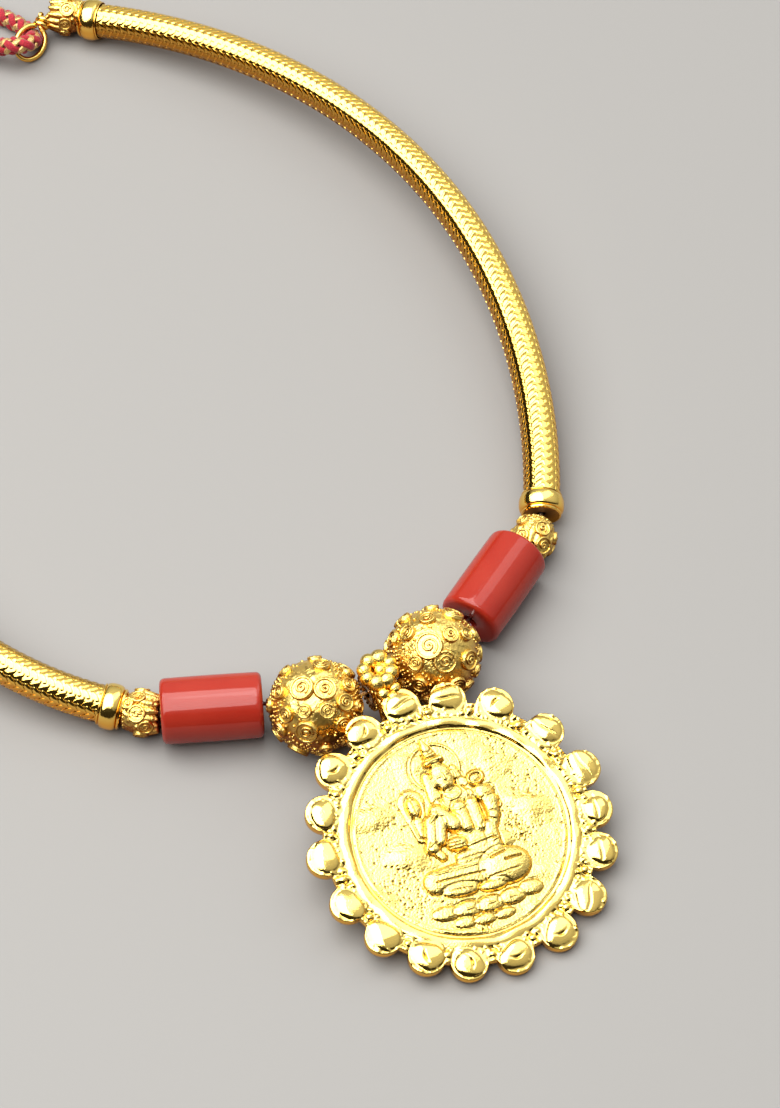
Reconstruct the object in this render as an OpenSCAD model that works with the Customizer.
// Temple necklace lying flat: two braided gold tubes, gold and coral beads, and a
// medallion pendant, closed at the back of the neck by a knotted red and gold thread.
// Millimetres. +Y points to the back of the neck, and z = 0 is the surface it lies on.

/* [Beads] */
// Diameter of the two filigree balls beside the pendant
ball_d = 14.6; // [13.8:0.1:14.8]
// Holes of a filigree ball, one toward the bail and one toward the coral
ball_bore_d = 3; // [2.6:0.1:3.6]
// Diameter of a coral barrel
coral_d = 10; // [8.5:0.1:10.4]
// Length of a coral barrel
coral_l = 15.2; // [13.5:0.1:15.3]
// Rounding of a coral barrel's ends
coral_edge_r = 0.8; // [0.4:0.1:1.5]
// Hole through a coral barrel
coral_bore_d = 2.4; // [2:0.1:3]
// Diameter of a small filigree bead
cap_d = 7.1; // [6.2:0.1:7.2]
// Length of a small filigree bead
cap_l = 4.8; // [4:0.1:4.9]
// Hole through a small filigree bead
cap_bore_d = 2.2; // [2:0.1:2.6]

/* [Collars and tubes] */
// Diameter of a braided tube
tube_d = 5.9; // [5:0.1:6]
// Length of a braided tube along its middle
tube_l = 134; // [120:1:136]
// Outer diameter of an end collar
collar_d = 7.1; // [6.8:0.1:7.2]
// Length of an end collar
collar_l = 3.3; // [3:0.1:3.4]
// Depth of the tube's seat in its collar
seat_depth = 2.4; // [2:0.1:2.6]
// Hole in a collar's end wall
collar_bore_d = 1.3; // [1.2:0.1:2]

/* [Pendant] */
// Radius of the circle that the rim's domes stand on
dome_circle_r = 19.6; // [19:0.1:19.8]
// Number of domes round the rim
dome_count = 18; // [16:1:18]
// Radius of a dome at its foot
dome_r = 2.5; // [2:0.05:2.6]
// Height of a dome above its wall
dome_h = 1.3; // [1:0.1:1.6]
// Radius of the smooth ring round the relief
ring_r = 17.45; // [17:0.05:17.6]
// Thickness of the medallion's plate
plate_t = 1.4; // [1.2:0.1:1.8]
// Slope of the medallion, which lies on its lower edge
pendant_tilt = 12; // [12:0.5:14]

/* [Wire and thread] */
// Diameter of the stringing wire
wire_d = 0.7; // [0.5:0.1:0.8]
// Diameter of the wire that the end loops are bent from
eye_wire_d = 0.8; // [0.6:0.1:0.9]
// Diameter of the braided thread
thread_d = 3.2; // [2.4:0.1:3.2]

/* [Hidden] */
$fn = 64;

gold = "goldenrod";
coral_red = [0.80, 0.26, 0.20];
thread_red = [0.75, 0.18, 0.24];

// Places of the beads. Columns: centre x, centre y, centre z, heading of the hole.
coral_right_place = [24.95, -42.6, 5.0, 29.6];
coral_left_place = [-22.6, -41.1, 5.0, 155.7];
cap_front_right_place = [35.3, -36.9, 3.55, 44];
cap_front_left_place = [-31.8, -35.9, 3.55, 145];
cap_back_right_place = [20.1, 96.2, 3.55, 143];
cap_back_left_place = [-20.5, 92.7, 3.55, 37];

// Places of the balls. The wire bends inside each, so its two holes have their own headings.
// Columns: centre x, centre y, centre z, heading of the bail's hole, heading of the coral's hole.
ball_right_place = [10.0, -50.1, 7.3, 188.7, 24];
ball_left_place = [-9.55, -49.5, 7.3, -12.3, 140];
coral_hole_dip = 11;
bend_room = 1;

// Each tube is three tangent arcs of equal length in one plane, hinged up along the
// straight line between its ends, so that its middle rises off the surface.
// Columns: front end x, front end y, heading of that line, lift of the plane, turns of the arcs.
tube_end_z = 3.95;
tube_right_path = [40.2, -31.0, 97.3, 10, [25, 27.5, 25.5]];
tube_left_path = [-36.5, -31.8, 84.5, 9, [-44, -24, -26]];
tube_rings = 50;
tube_sides = 14;
seat_gap = 0.1;
flange_l = 0.9;
cap_end_d = 5.2;
barrel_inset = 0.25;

// Seated figure on the medallion, as bars with round ends that are a little wider than the bar.
// Columns: start x, start y, end x, end y, width, height above the field.
field_z = 0.25;
bar_waist = 0.94;
relief_bars = [
    [1.5, 8.0, 1.6, 9.2, 4.2, 1.1],
    [1.7, 11.2, 1.9, 13.6, 2.4, 0.8],
    [1.2, 3.6, 0.7, -2.0, 5.2, 1.2],
    [-6.0, -5.6, 4.6, -5.6, 4.4, 1.05],
    [-7.4, -11.0, 4.0, -11.6, 3.4, 0.85],
    [-2.2, 3.8, -4.8, 0.2, 1.8, 0.75],
    [3.8, 3.4, 6.4, 0.6, 1.8, 0.7],
    [-4.9, 7.2, -5.5, 1.4, 2.2, 0.6],
    [5.9, 6.5, 6.5, 1.6, 2.2, 0.55]
];

// Medallion and bail. The wire passes through the bail between the two balls.
pendant_centre = [-1.0, -77.7, 5.85];
first_dome_angle = 85.6;
scallop_r = 2.8;
wall_h = 2;
dome_offset = 0.3;
back_z = field_z - plate_t;
ring_section_r = 0.85;
granule_r = 0.65;
granule_circle_r = 18.8;
bail_centre = [0.2, -51.3, 7.4];
bail_w = 4.2;
bail_d = 5.6;
bail_bore_d = 1.8;
bail_neck = [3, 5, 2.1];
bail_neck_front = 5.6;
bail_neck_rise = 0.4;
flower_centre = [0.45, -51.0, 11.3];
flower_r = 2.2;
flower_disc_h = 0.3;
flower_sink = 0.2;
petal_r = 0.75;
petal_count = 8;
bud_r = 1;

// Route of the stringing wire, from inside the left collar to inside the right one.
wire_route = [
    [-34.6, -33.5, 3.6], [-34.1, -34.0, 3.5], [-33.6, -34.5, 3.5], [-31.8, -35.9, 3.6],
    [-30.3, -37.2, 4.0], [-28.6, -38.4, 4.6], [-22.6, -41.1, 5.0], [-17.4, -43.5, 5.2],
    [-15.7, -44.4, 5.6], [-12.6, -46.9, 6.5], [-9.6, -49.3, 7.2], [-6.0, -50.4, 7.4],
    [-2.5, -51.1, 7.4], [0.2, -51.3, 7.4], [2.6, -51.3, 7.4], [6.0, -50.8, 7.4],
    [10.0, -50.0, 7.2], [14.2, -48.3, 6.5], [18.3, -46.4, 5.6], [20.2, -45.3, 5.2],
    [25.0, -42.6, 5.0], [30.6, -39.5, 4.6], [33.4, -38.3, 4.0], [35.3, -36.9, 3.6],
    [37.1, -35.4, 3.5], [38.2, -34.4, 3.5], [38.5, -33.8, 3.6], [38.9, -33.2, 3.7]
];
wire_steps = 2;
wire_sides = 8;

// End loop of each tube: a wire from the bead's hole, a loop, and turns round its own stem.
// The loop's own frame has its origin where the loop closes and x toward its far end.
eye_origin = [14.8, 96.1, 3.1];
eye_heading = 212;
eye_slope = 14;
eye_roll = 36;
eye_half_l = 3.2;
eye_half_w = 2.4;
eye_opening_a = 20;
eye_stem = [[19.2, 96.9, 3.55], [18.5, 97.4, 3.55], [17.9, 97.7, 3.55], [17.3, 97.5, 3.55]];
wrap_turns = 2;
wrap_start = -0.2;
wrap_gap = 0.06;

// The back end of the left tube lies this far from the mirror image of the right one
left_end_shift = [-0.4, -3.5, 0];

// Right half of the thread's route, from the knot, through the end loop and back to the middle.
// The left half mirrors it, drawn over to the left end loop.
thread_half_route = [
    [3.2, 109.3, 2.3], [4.4, 109.1, 2.1], [6.8, 107.6, 1.65], [9.1, 105.3, 1.65],
    [10.9, 102.6, 1.65], [12.2, 100.2, 1.65], [13.0, 98.2, 1.65], [13.1, 96.8, 1.65],
    [13.0, 95.5, 2.0], [12.8, 94.4, 2.7], [12.3, 93.5, 3.6], [11.5, 92.8, 4.2],
    [10.4, 92.4, 4.7], [9.2, 92.7, 4.8], [8.1, 93.4, 4.6], [7.0, 94.5, 3.9],
    [5.8, 95.7, 3.0], [4.3, 96.9, 2.1], [2.2, 97.8, 1.7]
];
thread_middle = [[0, 98.1, 1.65]];
thread_sides = 8;
knot_centre = [0, 109.4, 2.35];
knot_d = 4.7;
knot_l = 5.2;
knot_round = 0.4;

function unit(v) = v / norm(v);
function flat_to(n, t) = unit(n - (n * t) * t);
function mirrored(points) = [for (p = points) [-p.x, p.y, p.z]];

// Mirror image of a route about the middle, drawn over to the left end loop
function drawn_left(points) = [
    for (p = points) [-p.x, p.y, p.z] + left_end_shift * min(1, max(0, (p.x - 4.4) / 5))
];
function reversed(points) = [for (i = [len(points) - 1:-1:0]) points[i]];
function sum_to(list, n) = n <= 0 ? 0 : list[n - 1] + sum_to(list, n - 1);

// Direction of a route at one of its points
function tangent(route, i) = unit(route[min(i + 1, len(route) - 1)] - route[max(i - 1, 0)]);

// Sideways direction at each point of a route, carried along without twisting
function side_directions(route) = [
    for (
        i = 0, n = flat_to([0.1, 0.2, 1], tangent(route, 0));
        i < len(route);
        n = flat_to(n, tangent(route, min(i + 1, len(route) - 1))), i = i + 1
    ) n
];

// Smooth curve through the points of a route, with a few steps between each two
function smooth_between(a, b, c, d, t) = 0.5 * (
    2 * b + (c - a) * t + (2 * a - 5 * b + 4 * c - d) * t * t
    + (3 * b - a - 3 * c + d) * t * t * t
);
function smooth_route(route, steps) = concat(
    [
        for (i = [0:len(route) - 2], k = [0:steps - 1])
            smooth_between(
                route[max(i - 1, 0)], route[i], route[i + 1],
                route[min(i + 2, len(route) - 1)], k / steps
            )
    ],
    [route[len(route) - 1]]
);

// Point at a distance s along three tangent arcs that start at the origin along x
function arc_length() = tube_l / 3;
function arc_radius(turn) = arc_length() * 180 / (PI * turn);
function arc_step(turn, heading, part) = arc_radius(turn) * [
    sin(heading + turn * part) - sin(heading),
    cos(heading) - cos(heading + turn * part)
];
function arcs_point(turns, s, i = 0) = i > 2 ? [0, 0] :
    arc_step(turns[i], sum_to(turns, i), min(1, max(0, s / arc_length() - i)))
    + arcs_point(turns, s, i + 1);
function arcs_heading(turns, s, i = 0) = i > 2 ? 0 :
    turns[i] * min(1, max(0, s / arc_length() - i)) + arcs_heading(turns, s, i + 1);
function line_heading(turns) =
    let (end = arcs_point(turns, tube_l)) atan2(end.y, end.x);

// The same point and direction in the tube's hinged plane, and then in the necklace
function turned(v, a) = [v.x * cos(a) - v.y * sin(a), v.x * sin(a) + v.y * cos(a)];
function hinged(v, path) =
    let (side = path[4][0] > 0 ? -1 : 1, w = turned([v.x, v.y * cos(path[3])], path[2]))
    [w.x, w.y, side * v.y * sin(path[3])];
function tube_point(path, s) =
    [path[0], path[1], tube_end_z]
    + hinged(turned(arcs_point(path[4], s), -line_heading(path[4])), path);
function tube_direction(path, s) =
    let (a = arcs_heading(path[4], s) - line_heading(path[4]))
    hinged([cos(a), sin(a)], path);

module sweep(route, d, sides) {
    sides_of = side_directions(route);
    last = len(route) - 1;
    points = [
        for (i = [0:last], k = [0:sides - 1])
            let (t = tangent(route, i), n = sides_of[i], b = cross(t, n), a = 360 * k / sides)
            route[i] + d / 2 * (cos(a) * n + sin(a) * b)
    ];
    walls = [
        for (i = [0:last - 1], k = [0:sides - 1])
            let (m = (k + 1) % sides)
            [i * sides + k, (i + 1) * sides + k, (i + 1) * sides + m, i * sides + m]
    ];
    start_cap = [for (k = [0:sides - 1]) k];
    end_cap = [for (k = [sides - 1:-1:0]) last * sides + k];
    polyhedron(points, concat([start_cap], walls, [end_cap]), convexity = 10);
}

// Lays a bead that is modelled along x at its place
module at_place(place) {
    translate([place[0], place[1], place[2]]) rotate([0, 0, place[3]]) children();
}

// Cylinder along x, about the origin
module bar_along_x(d, l) {
    rotate([0, 90, 0]) cylinder(d = d, h = l, center = true);
}

// Upright bar with round ends, from the back of the plate to its height over the field
module relief_bar(bar) {
    start = [bar[0], bar[1]];
    span = [bar[2], bar[3]] - start;
    height = field_z + bar[5] - back_z;
    translate([bar[0], bar[1], back_z]) cylinder(d = bar[4], h = height);
    translate([bar[2], bar[3], back_z]) cylinder(d = bar[4], h = height);
    translate([bar[0], bar[1], back_z]) rotate([0, 0, atan2(span.y, span.x)])
        translate([0, -bar_waist * bar[4] / 2, 0])
            cube([norm(span), bar_waist * bar[4], height]);
}

// Hole from a ball's middle outward, starting a little behind it so that the wire can bend
module ball_hole() {
    translate([0, 0, -bend_room]) cylinder(d = ball_bore_d, h = ball_d + bend_room);
}

module ball(place) {
    color(gold) translate([place[0], place[1], place[2]]) difference() {
        sphere(d = ball_d);
        rotate([0, 90, place[3]]) ball_hole();
        rotate([0, 90 + coral_hole_dip, place[4]]) ball_hole();
    }
}

module coral(place) {
    color(coral_red) at_place(place) rotate([0, 90, 0]) rotate_extrude() difference() {
        translate([0, -coral_l / 2]) {
            translate([0, coral_edge_r]) square([coral_d / 2, coral_l - 2 * coral_edge_r]);
            square([coral_d / 2 - coral_edge_r, coral_l]);
            for (y = [coral_edge_r, coral_l - coral_edge_r])
                translate([coral_d / 2 - coral_edge_r, y]) circle(r = coral_edge_r);
        }
        translate([-1, -coral_l]) square([1 + coral_bore_d / 2, 2 * coral_l]);
        translate([-coral_d, -coral_l]) square([coral_d, 2 * coral_l]);
    }
}

// Barrel with flat ends, bulging between them, about the x axis
module barrel(d, l, end_d, bore_d) {
    sag = (d - end_d) / 2;
    bulge_r = (l * l / 4 + sag * sag) / (2 * sag);
    rotate([0, 90, 0]) rotate_extrude() intersection() {
        translate([bore_d / 2, -l / 2]) square([(d - bore_d) / 2, l]);
        translate([d / 2 - bulge_r, 0]) circle(r = bulge_r, $fn = 128);
    }
}

module cap_bead(place) {
    color(gold) at_place(place) barrel(cap_d, cap_l, cap_end_d, cap_bore_d);
}

// Collar at one end of a tube: its thin flange faces the bead, its barrel holds the tube
module collar(path, s, way) {
    end = tube_point(path, s);
    out = way * tube_direction(path, s);
    color(gold) translate(end) rotate([0, acos(out.z), atan2(out.y, out.x)]) difference() {
        union() {
            cylinder(d = collar_d - 2 * barrel_inset, h = collar_l);
            translate([0, 0, collar_l - flange_l]) cylinder(d = collar_d, h = flange_l);
        }
        translate([0, 0, -1]) cylinder(d = tube_d + 2 * seat_gap, h = seat_depth + 1);
        cylinder(d = collar_bore_d, h = collar_l + 1);
    }
}

// Braided tube, running into both of its collars
module tube(path) {
    reach = seat_depth - 2 * seat_gap;
    body = [for (i = [0:tube_rings]) tube_point(path, tube_l * i / tube_rings)];
    front = body[0] - reach * tube_direction(path, 0);
    back = body[tube_rings] + reach * tube_direction(path, tube_l);
    color(gold) sweep(concat([front], body, [back]), tube_d, tube_sides);
}

// Round cap that stands on a flat face
module dome() {
    cap_r = (dome_r * dome_r + dome_h * dome_h) / (2 * dome_h);
    rotate_extrude() intersection() {
        square([dome_r, dome_h]);
        translate([0, dome_h - cap_r]) circle(r = cap_r, $fn = 128);
    }
}

module medallion() {
    step = 360 / dome_count;
    translate([0, 0, back_z]) cylinder(r = dome_circle_r, h = plate_t, $fn = 128);
    for (i = [0:dome_count - 1]) rotate([0, 0, first_dome_angle - i * step]) {
        translate([dome_circle_r, 0, back_z]) cylinder(r = scallop_r, h = wall_h);
        translate([dome_circle_r + dome_offset, 0, back_z + wall_h]) dome();
        rotate([0, 0, step / 2]) translate([granule_circle_r, 0, field_z]) sphere(r = granule_r);
    }
    translate([0, 0, field_z])
        rotate_extrude($fn = 128) translate([ring_r, 0]) circle(r = ring_section_r);
    for (bar = relief_bars) relief_bar(bar);
}

// Ring round the wire, the neck from it down to the medallion, and the flower on top
module bail() {
    translate(bail_centre) bar_along_x(bail_d, bail_w);
    translate(bail_centre + [-bail_neck.x / 2, -bail_neck_front, bail_neck_rise])
        cube(bail_neck);
    translate([flower_centre.x, flower_centre.y, bail_centre.z])
        cylinder(d = bail_neck.x, h = flower_centre.z - bail_centre.z);
    translate(flower_centre) {
        translate([0, 0, -flower_sink]) cylinder(r = flower_r, h = flower_disc_h + flower_sink);
        translate([0, 0, flower_sink]) sphere(r = bud_r);
        for (i = [0:petal_count - 1]) rotate([0, 0, i * 360 / petal_count])
            translate([flower_r, 0, flower_disc_h]) sphere(r = petal_r);
    }
}

// Medallion and bail are soldered together
module pendant() {
    color(gold) difference() {
        union() {
            translate(pendant_centre) rotate([pendant_tilt, 0, 0]) medallion();
            bail();
        }
        translate(bail_centre) bar_along_x(bail_bore_d, 2 * bail_w);
    }
}

// A point of the end loop's own frame, in the necklace
function in_eye_frame(p) =
    let (
        along = [
            cos(eye_heading) * cos(eye_slope), sin(eye_heading) * cos(eye_slope), -sin(eye_slope)
        ],
        level = [-sin(eye_heading), cos(eye_heading), 0],
        up = cross(along, level),
        across = cos(eye_roll) * level - sin(eye_roll) * up
    )
    eye_origin + p.x * along + p.y * across + p.z * cross(along, across);

function eye_route() =
    let (
        r = eye_wire_d + wrap_gap,
        loop = [
            for (a = [eye_opening_a:20:360 - eye_opening_a])
                [eye_half_l * (1 - cos(a)), eye_half_w * sin(a), 0]
        ],
        wraps = [
            for (k = [0:wrap_turns * 12])
                let (a = 180 - 30 * k) [wrap_start - r * k / 12, r * cos(a), r * sin(a)]
        ],
        own = concat([[-0.5, 0, 0], [-0.1, 0.3, 0]], loop, wraps)
    )
    concat(eye_stem, [for (p = own) in_eye_frame(p)]);

module eye(route) {
    color(gold) sweep(route, eye_wire_d, 8);
}

module eye_right() eye(eye_route());
module eye_left() translate(left_end_shift) eye(mirrored(eye_route()));

// Wire through all the front beads, fixed in the end walls of the two front collars
module stringing_wire() {
    color("silver") sweep(smooth_route(wire_route, wire_steps), wire_d, wire_sides);
}

module thread() {
    route = concat(
        thread_half_route, thread_middle, reversed(drawn_left(thread_half_route))
    );
    color(thread_red) sweep(route, thread_d, thread_sides);
}

module thread_knot() {
    color(thread_red) translate(knot_centre) intersection() {
        sphere(d = norm([knot_d, knot_l]) - knot_round);
        bar_along_x(knot_d, knot_l);
    }
}

module ball_right() ball(ball_right_place);
module ball_left() ball(ball_left_place);
module coral_right() coral(coral_right_place);
module coral_left() coral(coral_left_place);
module cap_front_right() cap_bead(cap_front_right_place);
module cap_front_left() cap_bead(cap_front_left_place);
module cap_back_right() cap_bead(cap_back_right_place);
module cap_back_left() cap_bead(cap_back_left_place);
module collar_front_right() collar(tube_right_path, 0, -1);
module collar_front_left() collar(tube_left_path, 0, -1);
module collar_back_right() collar(tube_right_path, tube_l, 1);
module collar_back_left() collar(tube_left_path, tube_l, 1);
module tube_right() tube(tube_right_path);
module tube_left() tube(tube_left_path);

pendant();
ball_right();
ball_left();
coral_right();
coral_left();
cap_front_right();
cap_front_left();
cap_back_right();
cap_back_left();
collar_front_right();
collar_front_left();
collar_back_right();
collar_back_left();
tube_right();
tube_left();
eye_right();
eye_left();
stringing_wire();
thread();
thread_knot();
